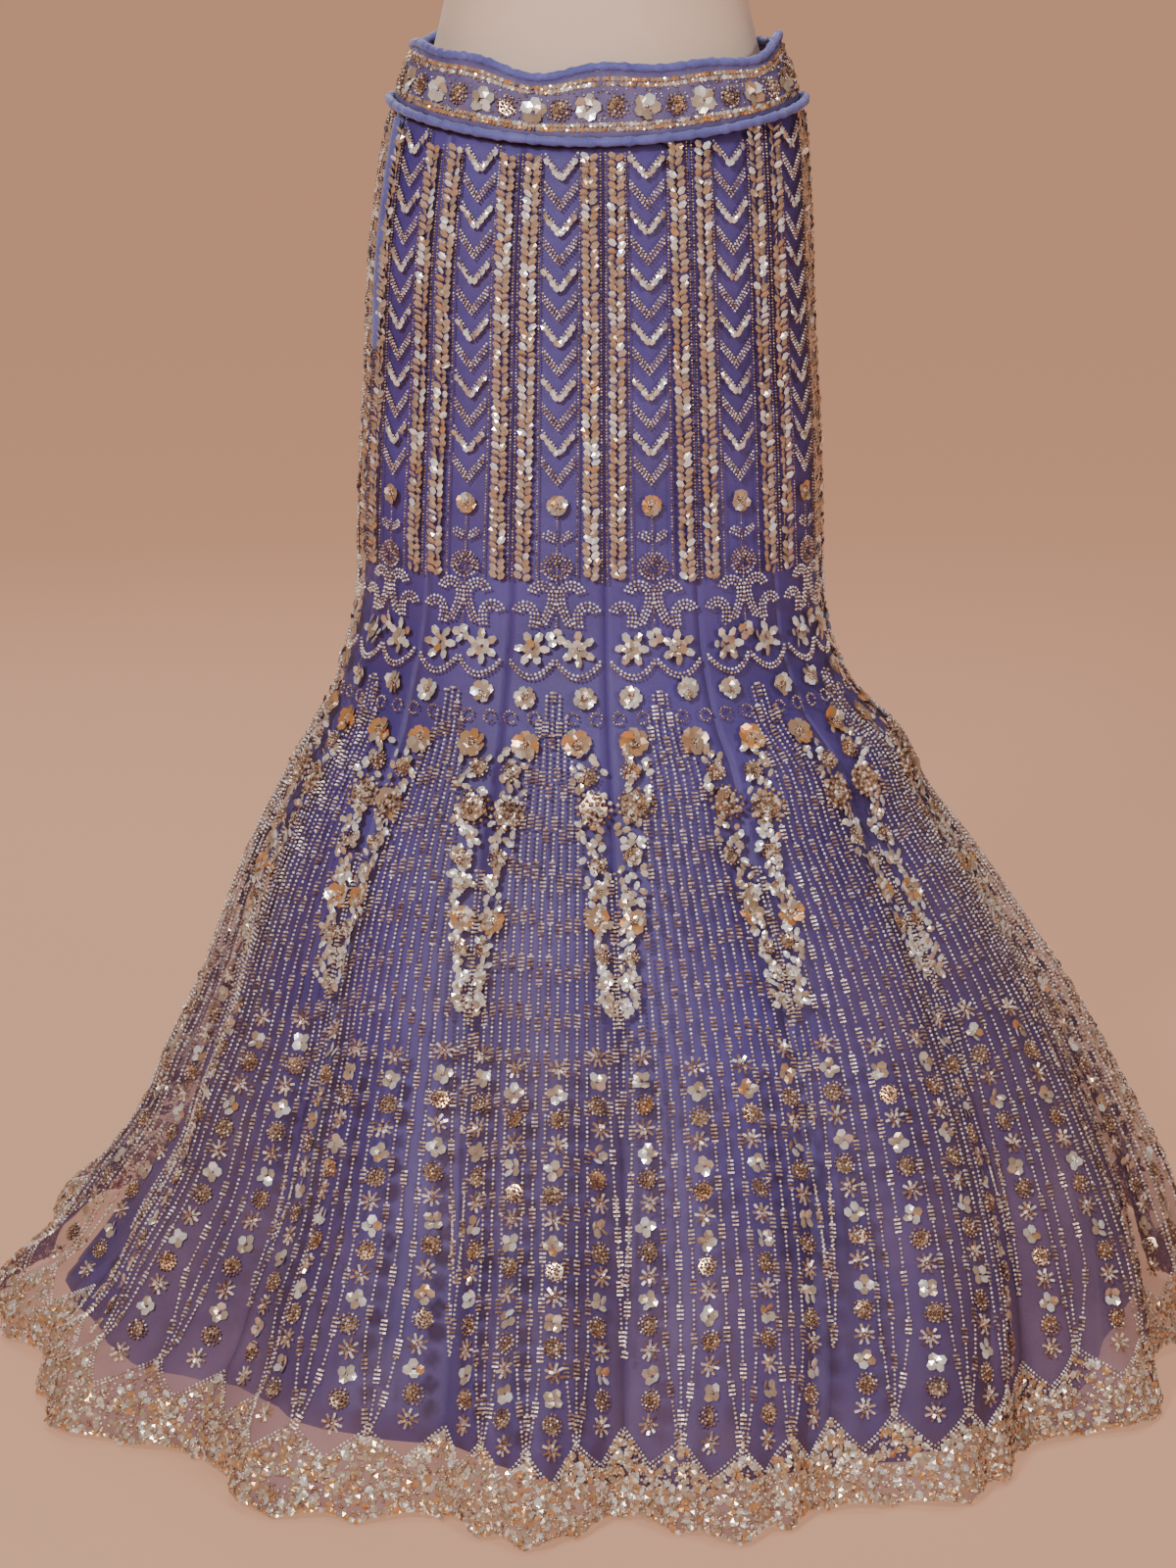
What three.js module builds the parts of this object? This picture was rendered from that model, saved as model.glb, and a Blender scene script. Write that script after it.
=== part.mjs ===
import * as THREE from 'three';

// Lehenga skirt on a limbless dress form. Millimetres, +Z up, the front of the skirt faces -Y.

const goreCount = 14;
const firstSeamShare = 0.0122; // the seam by the front centre, as a share of the hip line to the wearer's left
const netWall = 1.2;
const liningWall = 1.0;
const bandWall = 2.2;
const seamGap = 0.4;
const netColumns = 6;
const liningColumns = 3;
const bandColumns = 16;
const pipingRadius = 3.2;
const pipingSides = 6;
const placketWidth = 12;
const placketLength = 170;
const placketWall = 1.4;
const placketSeam = 11; // the seam on the wearer's right side that opens
const neckTop = 1500;
const torsoColumns = 32;
const poleRadius = 13;
const baseRadius = 160;
const baseHeight = 18;
const fitGap = 0.3;

// The waist seam dips at the front, and the band stands up from it.
const waist = { seamAtSides: 944, seamDip: 27, topAtSides: 984, topDip: 20 };

// How far the outer folds of the net stand from the pole's line at each height.
const skirtSections = [
  { z: 1010, left: 126, right: 140, front: 102, back: 102 },
  { z: 984, left: 131, right: 145, front: 105, back: 105 },
  { z: 940, left: 146, right: 160, front: 112, back: 113 },
  { z: 880, left: 158, right: 166, front: 119, back: 121 },
  { z: 820, left: 165, right: 169, front: 124, back: 128 },
  { z: 760, left: 168, right: 172, front: 127, back: 131 },
  { z: 700, left: 172, right: 176, front: 131, back: 133 },
  { z: 640, left: 175, right: 178, front: 137, back: 137 },
  { z: 585, left: 176, right: 180, front: 144, back: 143 },
  { z: 552, left: 180, right: 183, front: 149, back: 149 },
  { z: 522, left: 189, right: 193, front: 157, back: 158 },
  { z: 492, left: 198, right: 209, front: 168, back: 170 },
  { z: 460, left: 217, right: 243, front: 186, back: 192 },
  { z: 415, left: 242, right: 266, front: 215, back: 224 },
  { z: 368, left: 266, right: 303, front: 248, back: 260 },
  { z: 318, left: 286, right: 338, front: 286, back: 298 },
  { z: 268, left: 304, right: 372, front: 326, back: 334 },
  { z: 215, left: 331, right: 404, front: 366, back: 370 },
  { z: 165, left: 353, right: 432, front: 402, back: 405 },
  { z: 115, left: 391, right: 459, front: 436, back: 440 },
  { z: 70, left: 422, right: 475, front: 466, back: 468 },
  { z: 30, left: 468, right: 487, front: 489, back: 490 },
  { z: 0, left: 482, right: 498, front: 507, back: 507 },
];

// Each seam runs to its own place on the hem, in degrees from the front, and lies in a fold there.
const seams = [
  { atHem: 3, fold: 54 },
  { atHem: 20.5, fold: 36 },
  { atHem: 43, fold: 44 },
  { atHem: 69, fold: 38 },
  { atHem: 95, fold: 36 },
  { atHem: 122, fold: 44 },
  { atHem: 150, fold: 38 },
  { atHem: 178, fold: 48 },
  { atHem: 206, fold: 36 },
  { atHem: 234, fold: 44 },
  { atHem: 262, fold: 34 },
  { atHem: 291, fold: 40 },
  { atHem: 320, fold: 48 },
  { atHem: 347, fold: 42 },
];
const foldTop = 505; // the folds open below this height
const foldGrowth = 1.15;
const foldSharpness = 1.6; // a higher number makes narrower valleys

const netRows = [1000, 800, 680, 585, 550, 520, 490, 458, 410, 350, 280, 205, 130, 60, 0];
const liningRows = [1000, 800, 680, 585, 550, 520, 490, 458, 410, 350, 205, 0];
const liningInside = { hip: 4.4, hem: 58 }; // how far the lining hangs inside the net
const liningFoldShare = 0.4;
const liningHems = [14, 16, 10, 14, 20, 12, 18, 10, 16, 12, 22, 26, 42, 36];

// The dress form: how far it stands from the pole's line, with its middle carried to one side.
const formSections = [
  { z: 690, half: 146, front: 100, back: 102, side: 2 },
  { z: 698, half: 156, front: 110, back: 112, side: 2 },
  { z: 760, half: 159, front: 114, back: 117, side: 2 },
  { z: 830, half: 156, front: 113, back: 116, side: 3 },
  { z: 880, half: 148, front: 107, back: 109, side: 4 },
  { z: 920, half: 138, front: 100, back: 101, side: 5 },
  { z: 950, half: 130, front: 95, back: 95, side: 6 },
  { z: 983, half: 122, front: 90, back: 89, side: 6 },
  { z: 1013, half: 114, front: 86, back: 83, side: 6 },
  { z: 1050, half: 108, front: 82, back: 78, side: 6 },
  { z: 1100, half: 112, front: 87, back: 80, side: 6 },
  { z: 1150, half: 123, front: 97, back: 84, side: 6 },
  { z: 1200, half: 134, front: 110, back: 90, side: 6 },
  { z: 1245, half: 141, front: 116, back: 95, side: 6 },
  { z: 1290, half: 146, front: 106, back: 98, side: 6 },
  { z: 1330, half: 156, front: 86, back: 95, side: 6 },
  { z: 1365, half: 166, front: 68, back: 84, side: 6 },
  { z: 1388, half: 167, front: 57, back: 72, side: 6 },
  { z: 1404, half: 156, front: 51, back: 64, side: 6 },
  { z: 1418, half: 130, front: 49, back: 60, side: 6 },
  { z: 1432, half: 96, front: 48, back: 57, side: 6 },
  { z: 1450, half: 68, front: 47, back: 54, side: 6 },
  { z: 1472, half: 58, front: 46, back: 52, side: 6 },
  { z: neckTop, half: 55, front: 46, back: 52, side: 6 },
];
const capSections = [
  { z: neckTop + fitGap, half: 56, front: 47, back: 53, side: 6 },
  { z: neckTop + 7, half: 57, front: 48, back: 54, side: 6 },
  { z: neckTop + 13, half: 50, front: 42, back: 47, side: 6 },
  { z: neckTop + 15, half: 36, front: 30, back: 34, side: 6 },
];

const finishes = {
  net: { color: 0x7a6c98, roughness: 0.6, metalness: 0 },
  satin: { color: 0x5a55a0, roughness: 0.35, metalness: 0 },
  beadedBand: { color: 0xb09070, roughness: 0.4, metalness: 0.3 },
  piping: { color: 0x5555a5, roughness: 0.5, metalness: 0 },
  linen: { color: 0xdebeaa, roughness: 0.8, metalness: 0 },
  wood: { color: 0x8a5f3c, roughness: 0.5, metalness: 0 },
  steel: { color: 0xb8b8b4, roughness: 0.35, metalness: 0.9 },
};

const skirt = new THREE.Group();

function piece(name, geometry, finish) {
  const mesh = new THREE.Mesh(geometry, new THREE.MeshStandardMaterial(finish));
  mesh.name = name;
  skirt.add(mesh);
}

// A smooth value of one column of a table at a height, through its rows.
function columnAt(rows, column, z) {
  const falling = rows[0].z > rows[rows.length - 1].z;
  const table = falling ? [...rows].reverse() : rows;
  const last = table.length - 1;
  const height = Math.min(Math.max(z, table[0].z), table[last].z);
  let i = 0;
  while (i < last - 1 && height > table[i + 1].z) i += 1;
  const slope = (k) => {
    const a = table[Math.max(k - 1, 0)];
    const b = table[Math.min(k + 1, last)];
    return (b[column] - a[column]) / (b.z - a.z);
  };
  const span = table[i + 1].z - table[i].z;
  const t = (height - table[i].z) / span;
  const h1 = t * t * (3 - 2 * t);
  const lift = (t * (1 - t) * (1 - t) * slope(i) - t * t * (1 - t) * slope(i + 1)) * span;
  return table[i][column] * (1 - h1) + table[i + 1][column] * h1 + lift;
}

// The angle round an oval at which a share of its length is reached.
function ovalAngle(share, halfWidth, halfDepth) {
  const k = (halfWidth - halfDepth) / (halfWidth + halfDepth);
  return 2 * Math.PI * share - 0.5 * k * Math.sin(4 * Math.PI * share);
}

function foldShare(z) {
  return Math.pow(Math.max(0, (foldTop - z) / foldTop), foldGrowth);
}

// Where a seam count such as 2.5, the middle of gore 2, lies round the skirt at a height.
function roundShare(g, z) {
  const seam = Math.floor(g);
  const t = g - seam;
  const turns = Math.floor(seam / goreCount);
  const here = seam - turns * goreCount;
  const from = seams[here].atHem / 360;
  const to = here + 1 < goreCount ? seams[here + 1].atHem / 360 : seams[0].atHem / 360 + 1;
  const hemShare = turns + from + (to - from) * t;
  const hipShare = firstSeamShare + g / goreCount;
  const w = foldShare(z);
  return hipShare * (1 - w) + hemShare * w;
}

// How deep the fold is at a seam count: full at a seam, nothing along a gore's middle.
function foldDepth(g, z) {
  const seam = Math.floor(g);
  const t = g - seam;
  const here = ((seam % goreCount) + goreCount) % goreCount;
  const next = (here + 1) % goreCount;
  const depth = t < 0.5 ? seams[here].fold : seams[next].fold;
  return depth * foldShare(z) * Math.pow(0.5 + 0.5 * Math.cos(2 * Math.PI * t), foldSharpness);
}

// A point of the cloth at a seam count and a height, moved in towards the pole.
function clothPoint(g, z, inside, share) {
  const left = columnAt(skirtSections, 'left', z);
  const right = columnAt(skirtSections, 'right', z);
  const front = columnAt(skirtSections, 'front', z);
  const back = columnAt(skirtSections, 'back', z);
  const angle = ovalAngle(roundShare(g, z), (left + right) / 2, (front + back) / 2);
  const inward = inside + share * foldDepth(g, z);
  const reachX = (Math.sin(angle) < 0 ? left : right) - inward;
  const reachY = (Math.cos(angle) > 0 ? front : back) - inward;
  return new THREE.Vector3(reachX * Math.sin(angle), -reachY * Math.cos(angle), z);
}

function insideAt(z) {
  return liningInside.hip + (liningInside.hem - liningInside.hip) * foldShare(z);
}

function netPoint(g, z) {
  return clothPoint(g, z, 0, 1);
}

function liningPoint(g, z) {
  return clothPoint(g, z, insideAt(z), liningFoldShare);
}

// A point moved out from the cloth along its own outward direction.
function movedOut(surface, g, z, distance) {
  const step = 0.02;
  const rise = 2;
  const across = surface(g + step, z).sub(surface(g - step, z));
  const up = surface(g, z + rise).sub(surface(g, z - rise));
  const out = across.cross(up).normalize();
  return surface(g, z).addScaledVector(out, distance);
}

// A closed wall on a grid: outer(i, j) and inner(i, j), i across to the wearer's left and j downwards.
function wall(columns, rows, outer, inner) {
  const points = [];
  const faces = [];
  const row = columns + 1;
  const layer = row * (rows + 1);
  for (const side of [outer, inner]) {
    for (let j = 0; j <= rows; j += 1) {
      for (let i = 0; i <= columns; i += 1) points.push(...side(i, j).toArray());
    }
  }
  const quad = (a, b, c, d) => faces.push(a, b, c, a, c, d);
  for (let j = 0; j < rows; j += 1) {
    for (let i = 0; i < columns; i += 1) {
      const a = j * row + i;
      quad(a, a + row, a + row + 1, a + 1);
      quad(layer + a, layer + a + 1, layer + a + row + 1, layer + a + row);
    }
  }
  for (let i = 0; i < columns; i += 1) {
    const low = rows * row + i;
    quad(i, i + 1, layer + i + 1, layer + i);
    quad(low, layer + low, layer + low + 1, low + 1);
  }
  for (let j = 0; j < rows; j += 1) {
    const a = j * row;
    const b = a + columns;
    quad(a, layer + a, layer + a + row, a + row);
    quad(b, b + row, layer + b + row, layer + b);
  }
  return solidOf(points, faces);
}

// A closed ring or loft: point(i, j) with i round the loop and j along it, its ends closed or joined.
function loft(around, along, point, joined) {
  const points = [];
  const faces = [];
  for (let j = 0; j < along; j += 1) {
    for (let i = 0; i < around; i += 1) points.push(...point(i, j).toArray());
  }
  const last = joined ? along : along - 1;
  for (let j = 0; j < last; j += 1) {
    const low = j * around;
    const high = ((j + 1) % along) * around;
    for (let i = 0; i < around; i += 1) {
      const k = (i + 1) % around;
      faces.push(low + i, low + k, high + k, low + i, high + k, high + i);
    }
  }
  if (!joined) {
    for (const [ring, turned] of [[0, true], [along - 1, false]]) {
      const middle = new THREE.Vector3();
      for (let i = 0; i < around; i += 1) middle.add(point(i, ring));
      middle.divideScalar(around);
      const centre = points.length / 3;
      points.push(...middle.toArray());
      for (let i = 0; i < around; i += 1) {
        const a = ring * around + i;
        const b = ring * around + ((i + 1) % around);
        faces.push(centre, turned ? b : a, turned ? a : b);
      }
    }
  }
  return solidOf(points, faces);
}

function solidOf(points, faces) {
  const geometry = new THREE.BufferGeometry();
  geometry.setAttribute('position', new THREE.Float32BufferAttribute(points, 3));
  geometry.setIndex(faces);
  geometry.computeVertexNormals();
  return geometry;
}

// The waist seam and the band's top, which waves as bound net does.
function frontness(g) {
  const share = roundShare(g, waist.topAtSides);
  return Math.pow(Math.max(0, Math.cos(2 * Math.PI * share)), 1.3);
}

function waistSeam(g) {
  return waist.seamAtSides - waist.seamDip * frontness(g);
}

function bandTop(g) {
  const turn = (2 * Math.PI * g) / goreCount;
  const wave = 3.2 * Math.sin(5 * turn + 0.6) + 2.2 * Math.sin(9 * turn + 2);
  return waist.topAtSides - waist.topDip * frontness(g) + wave;
}

// The count at a grid column of a gore, kept off the seams at both sides.
function columnCount(gore, i, columns, z, surface) {
  const width = surface(gore, z).distanceTo(surface(gore + 1, z));
  const trim = (seamGap / 2) / width;
  return gore + trim + (1 - 2 * trim) * (i / columns);
}

function twoDigits(number) {
  return String(number).padStart(2, '0');
}

// Net gores, from the waist seam to the floor.
for (let gore = 0; gore < goreCount; gore += 1) {
  const at = (i, j, distance) => {
    const g = columnCount(gore, i, netColumns, netRows[j] > waist.seamAtSides ? 940 : netRows[j], netPoint);
    const z = j === 0 ? waistSeam(g) - fitGap : netRows[j];
    return movedOut(netPoint, g, z, distance);
  };
  const onFloor = (i, j, distance) => {
    const p = at(i, j, distance);
    if (j === netRows.length - 1) p.z = 0;
    return p;
  };
  const geometry = wall(
    netColumns, netRows.length - 1, (i, j) => onFloor(i, j, 0), (i, j) => onFloor(i, j, -netWall),
  );
  piece(`net_gore_${twoDigits(gore + 1)}`, geometry, finishes.net);
}

// Satin lining gores, which show through the net and end a little above the floor.
for (let gore = 0; gore < goreCount; gore += 1) {
  const hem = (g) => {
    const t = g - gore;
    return liningHems[gore] * (1 - t) + liningHems[(gore + 1) % goreCount] * t;
  };
  const at = (i, j, distance) => {
    const level = j === 0 ? waist.seamAtSides : liningRows[j];
    const g = columnCount(gore, i, liningColumns, level, liningPoint);
    let z = liningRows[j];
    if (j === 0) z = waistSeam(g) - fitGap;
    if (j === liningRows.length - 1) z = hem(g);
    return movedOut(liningPoint, g, z, distance);
  };
  const geometry = wall(
    liningColumns, liningRows.length - 1, (i, j) => at(i, j, 0), (i, j) => at(i, j, -liningWall),
  );
  piece(`lining_gore_${twoDigits(gore + 1)}`, geometry, finishes.satin);
}

// The waistband in two halves, joined at the side seams.
const bandHalves = [
  { name: 'waistband_front', from: placketSeam - goreCount, to: 4 },
  { name: 'waistband_back', from: 4, to: placketSeam },
];
for (const half of bandHalves) {
  const trim = (seamGap / 2) / 70;
  const at = (i, j, distance) => {
    const g = half.from + trim + (half.to - half.from - 2 * trim) * (i / bandColumns);
    const low = waistSeam(g) + fitGap;
    const high = bandTop(g);
    return movedOut(netPoint, g, high + (low - high) * (j / 2), distance);
  };
  const geometry = wall(bandColumns, 2, (i, j) => at(i, j, 0), (i, j) => at(i, j, -bandWall));
  piece(half.name, geometry, finishes.beadedBand);
}

// Round bindings over the band's top edge and over the waist seam.
const pipingSteps = 2 * bandColumns;
const pipings = [
  { name: 'piping_top', line: (g) => bandTop(g) + pipingRadius + 2 * fitGap, out: -bandWall / 2 },
  { name: 'piping_waist', line: waistSeam, out: pipingRadius + 4 * fitGap },
];
for (const piping of pipings) {
  const at = (i, j) => {
    const g = placketSeam - goreCount + (goreCount * j) / pipingSteps;
    const turn = (-2 * Math.PI * (i + 0.5)) / pipingSides;
    const z = piping.line(g);
    const p = movedOut(netPoint, g, z, piping.out + pipingRadius * Math.cos(turn));
    p.z += pipingRadius * Math.sin(turn);
    return p;
  };
  piece(piping.name, loft(pipingSides, pipingSteps, at, true), finishes.piping);
}

// The bound opening down the wearer's right side seam.
const placketTop = waistSeam(placketSeam) - 2 * pipingRadius - 1;
const placketRows = 5;
function placketAt(i, j, distance) {
  const z = placketTop - (placketLength * j) / placketRows;
  const gore = netPoint(placketSeam, z).distanceTo(netPoint(placketSeam + 1, z));
  const g = placketSeam + ((i - 1) * placketWidth) / (2 * gore);
  return movedOut(netPoint, g, z, 3 * fitGap + distance);
}
const placket = wall(2, placketRows, (i, j) => placketAt(i, j, placketWall), (i, j) => placketAt(i, j, 0));
piece('side_placket', placket, finishes.piping);

// The limbless form, smooth from its lower edge to the neck.
function formPoint(sections, i, j) {
  const angle = (2 * Math.PI * i) / torsoColumns;
  const { z, half, front, back, side } = sections[j];
  const reachY = Math.cos(angle) > 0 ? front : back;
  return new THREE.Vector3(side + half * Math.sin(angle), -reachY * Math.cos(angle), z);
}

piece('form_torso', loft(torsoColumns, formSections.length, (i, j) => formPoint(formSections, i, j), false),
  finishes.linen);
piece('form_neck_cap', loft(torsoColumns, capSections.length, (i, j) => formPoint(capSections, i, j), false),
  finishes.wood);

// The pole and its round foot.
const poleHeight = formSections[0].z - baseHeight - 2 * fitGap;
const pole = new THREE.CylinderGeometry(poleRadius, poleRadius, poleHeight, 20);
pole.rotateX(Math.PI / 2);
pole.translate(0, 0, baseHeight + fitGap + poleHeight / 2);
piece('form_pole', pole, finishes.steel);

const footProfile = [
  [0, 0], [baseRadius, 0], [baseRadius, 4], [baseRadius - 4, 8], [60, 12], [26, baseHeight], [0, baseHeight],
];
const foot = new THREE.LatheGeometry(footProfile.map(([r, h]) => new THREE.Vector2(r, h)), 36);
foot.rotateX(Math.PI / 2);
piece('form_foot', foot, finishes.steel);

// The origin is under the middle of the whole, on the floor.
const reach = new THREE.Box3().setFromObject(skirt);
const middle = reach.getCenter(new THREE.Vector3());
skirt.position.set(-middle.x, -middle.y, 0);

export default skirt;
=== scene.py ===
import math

import bmesh
import bpy
import numpy as np
from mathutils import Matrix, Vector


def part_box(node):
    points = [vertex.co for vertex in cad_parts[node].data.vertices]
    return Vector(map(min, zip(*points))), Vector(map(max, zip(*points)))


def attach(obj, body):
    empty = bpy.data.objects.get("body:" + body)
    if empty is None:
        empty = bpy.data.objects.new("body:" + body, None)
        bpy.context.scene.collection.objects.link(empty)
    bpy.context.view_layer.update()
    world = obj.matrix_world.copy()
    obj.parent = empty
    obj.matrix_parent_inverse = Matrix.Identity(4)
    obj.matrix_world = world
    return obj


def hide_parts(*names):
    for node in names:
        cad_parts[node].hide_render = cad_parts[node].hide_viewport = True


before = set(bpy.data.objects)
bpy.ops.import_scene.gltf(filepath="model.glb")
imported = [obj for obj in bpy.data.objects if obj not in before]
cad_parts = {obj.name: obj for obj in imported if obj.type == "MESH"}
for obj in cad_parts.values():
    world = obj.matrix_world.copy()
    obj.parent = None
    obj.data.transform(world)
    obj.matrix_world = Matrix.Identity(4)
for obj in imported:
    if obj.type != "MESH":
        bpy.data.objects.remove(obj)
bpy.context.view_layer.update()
rng = np.random.default_rng(11)

footLow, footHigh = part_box("form_foot")
axisX = (footLow[0] + footHigh[0]) / 2  # the pole's line, which every section is measured from
axisY = (footLow[1] + footHigh[1]) / 2

# camera

view = {"back": 2.8, "height": 1.058, "down": 12.9, "lens": 84.4, "sensor": 36.0}
cameraData = bpy.data.cameras.new("frontCamera")
cameraData.sensor_fit = "VERTICAL"
cameraData.sensor_height = view["sensor"]
cameraData.lens = view["lens"]
camera = bpy.data.objects.new("frontCamera", cameraData)
camera.location = (axisX, axisY - view["back"], view["height"])
camera.rotation_euler = (math.radians(90 - view["down"]), 0, 0)
bpy.context.scene.collection.objects.link(camera)
bpy.context.scene.camera = camera

# the shape of the skirt, in metres from the pole's line

cut = {
    "gores": 14,
    "firstSeamShare": 0.0122,  # how far round the first seam stands, as a share of the girth
    "foldTop": 0.505,  # the folds open below this height
    "foldGrowth": 1.15,
    "foldSharpness": 1.6,
    "liningHip": 0.0044,  # how far inside the net the lining hangs
    "liningHem": 0.058,
    "liningFold": 0.4,  # the share of the net's folds and creases that the lining follows
    "liningCrease": 0.45,
    "seamAtSides": 0.944,  # the waist seam and the band's top edge, which dip at the front
    "seamDip": 0.027,
    "topAtSides": 0.984,
    "topDip": 0.020,
    "dipSharpness": 1.3,
}
# height, then how far the cloth stands to the left, right, front and back
skirtSections = [
    (1.010, 0.126, 0.140, 0.102, 0.102),
    (0.984, 0.131, 0.145, 0.105, 0.105),
    (0.940, 0.146, 0.160, 0.112, 0.113),
    (0.880, 0.158, 0.166, 0.119, 0.121),
    (0.820, 0.165, 0.169, 0.124, 0.128),
    (0.760, 0.168, 0.172, 0.127, 0.131),
    (0.700, 0.172, 0.176, 0.131, 0.133),
    (0.640, 0.175, 0.178, 0.137, 0.137),
    (0.585, 0.176, 0.180, 0.144, 0.143),
    (0.552, 0.180, 0.183, 0.149, 0.149),
    (0.522, 0.189, 0.193, 0.157, 0.158),
    (0.492, 0.198, 0.209, 0.168, 0.170),
    (0.460, 0.217, 0.243, 0.186, 0.192),
    (0.415, 0.242, 0.266, 0.215, 0.224),
    (0.368, 0.266, 0.303, 0.248, 0.260),
    (0.318, 0.286, 0.338, 0.286, 0.298),
    (0.268, 0.304, 0.372, 0.326, 0.334),
    (0.215, 0.331, 0.404, 0.366, 0.370),
    (0.165, 0.353, 0.432, 0.402, 0.405),
    (0.115, 0.391, 0.459, 0.436, 0.440),
    (0.070, 0.422, 0.475, 0.466, 0.468),
    (0.030, 0.468, 0.487, 0.489, 0.490),
    (0.000, 0.482, 0.498, 0.507, 0.507),
]
# for each seam: its angle at the hem in degrees from the front, and how deep its fold is there
seams = [
    (3, 0.054), (20.5, 0.036), (43, 0.044), (69, 0.038), (95, 0.036), (122, 0.044), (150, 0.038),
    (178, 0.048), (206, 0.036), (234, 0.044), (262, 0.034), (291, 0.040), (320, 0.048), (347, 0.042),
]
# smaller creases: seam count, height where each opens, depth and width at the hem, and drift on the way down
creases = [
    (0.30, 0.33, 0.013, 0.085, 0.02), (0.68, 0.26, 0.011, 0.08, -0.03), (1.25, 0.36, 0.014, 0.09, 0.03),
    (1.62, 0.22, 0.010, 0.07, 0.02), (2.28, 0.31, 0.013, 0.08, -0.02), (2.66, 0.38, 0.012, 0.09, 0.04),
    (3.34, 0.27, 0.014, 0.08, 0.02), (3.72, 0.20, 0.009, 0.07, -0.02), (4.36, 0.34, 0.013, 0.09, 0.02),
    (4.70, 0.24, 0.011, 0.07, 0.03), (5.30, 0.30, 0.012, 0.08, -0.02), (5.69, 0.37, 0.014, 0.09, 0.02),
    (6.33, 0.25, 0.011, 0.08, 0.03), (6.71, 0.33, 0.013, 0.08, -0.03), (7.36, 0.29, 0.012, 0.09, 0.02),
    (7.66, 0.21, 0.010, 0.07, 0.02), (8.29, 0.35, 0.014, 0.08, -0.02), (8.68, 0.26, 0.011, 0.08, 0.02),
    (9.33, 0.31, 0.012, 0.09, 0.03), (9.72, 0.23, 0.010, 0.07, -0.02), (10.30, 0.36, 0.013, 0.08, 0.02),
    (10.66, 0.28, 0.012, 0.08, -0.03), (11.34, 0.24, 0.013, 0.09, 0.02), (11.69, 0.34, 0.012, 0.07, 0.03),
    (12.27, 0.37, 0.014, 0.08, -0.03), (12.63, 0.25, 0.011, 0.09, 0.02), (13.33, 0.30, 0.010, 0.08, 0.02),
    (13.70, 0.22, 0.009, 0.07, -0.02),
]

creaseForm = {"driftOver": 0.3, "opensOver": 0.22, "opensAs": 1.3}
# waves of the band's top edge: how many go round, how high each is, and where it starts
bandWaves = [(5, 0.0032, 0.6), (9, 0.0022, 2)]

gridHeights = np.linspace(0.0, 1.01, 1011)
widthHeights = np.linspace(0.0, 1.0, 51)


def smoothColumn(column):
    rows = sorted(skirtSections)
    z = np.array([row[0] for row in rows])
    value = np.array([row[column] for row in rows])
    before = np.maximum(np.arange(len(z)) - 1, 0)
    after = np.minimum(np.arange(len(z)) + 1, len(z) - 1)
    slope = (value[after] - value[before]) / (z[after] - z[before])
    i = np.clip(np.searchsorted(z, gridHeights, side="right") - 1, 0, len(z) - 2)
    span = z[i + 1] - z[i]
    t = np.clip((gridHeights - z[i]) / span, 0, 1)
    blend = t * t * (3 - 2 * t)
    lift = (t * (1 - t) ** 2 * slope[i] - t * t * (1 - t) * slope[i + 1]) * span
    return value[i] * (1 - blend) + value[i + 1] * blend + lift


reach = {name: smoothColumn(k) for k, name in enumerate(("left", "right", "front", "back"), start=1)}
seamShares = np.array([angle / 360 for angle, _ in seams] + [seams[0][0] / 360 + 1])
seamFolds = np.array([fold for _, fold in seams])


def foldShare(z):
    return np.clip((cut["foldTop"] - z) / cut["foldTop"], 0, 1) ** cut["foldGrowth"]


def roundShare(g, z):
    seam = np.floor(g).astype(int)
    t = g - seam
    here = seam % cut["gores"]
    turns = (seam - here) / cut["gores"]
    atHem = turns + seamShares[here] + (seamShares[here + 1] - seamShares[here]) * t
    atHip = cut["firstSeamShare"] + g / cut["gores"]
    w = foldShare(z)
    return atHip * (1 - w) + atHem * w


def foldDepth(g, z):
    seam = np.floor(g).astype(int)
    t = g - seam
    here = seam % cut["gores"]
    depth = np.where(t < 0.5, seamFolds[here], seamFolds[(here + 1) % cut["gores"]])
    return depth * foldShare(z) * (0.5 + 0.5 * np.cos(2 * math.pi * t)) ** cut["foldSharpness"]


def creaseDepth(g, z):
    total = np.zeros_like(z)
    half = cut["gores"] / 2
    for at, top, deep, wide, drift in creases:
        apart = (g - at - drift * (top - z) / creaseForm["driftOver"] + half) % cut["gores"] - half
        opening = np.clip((top - z) / creaseForm["opensOver"], 0, 1) ** creaseForm["opensAs"]
        total += deep * opening * np.exp(-((apart / wide) ** 2))
    return total


def clothPoint(g, z, inside, share, creaseShare):
    left, right, front, back = (np.interp(z, gridHeights, way) for way in reach.values())
    wide = (left + right) / 2
    deep = (front + back) / 2
    k = (wide - deep) / (wide + deep)
    turn = roundShare(g, z)
    angle = 2 * math.pi * turn - 0.5 * k * np.sin(4 * math.pi * turn)
    inward = inside + share * foldDepth(g, z) + creaseShare * creaseDepth(g, z)
    reachX = np.where(np.sin(angle) < 0, left, right) - inward
    reachY = np.where(np.cos(angle) > 0, front, back) - inward
    return np.stack([axisX + reachX * np.sin(angle), axisY - reachY * np.cos(angle), z], axis=-1)


def netPoint(g, z):
    return clothPoint(g, z, 0, 1, 1)


def liningPoint(g, z):
    inside = cut["liningHip"] + (cut["liningHem"] - cut["liningHip"]) * foldShare(z)
    return clothPoint(g, z, inside, cut["liningFold"], cut["liningCrease"])


def unit(v):
    return v / np.maximum(np.linalg.norm(v, axis=-1, keepdims=True), 1e-9)


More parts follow.
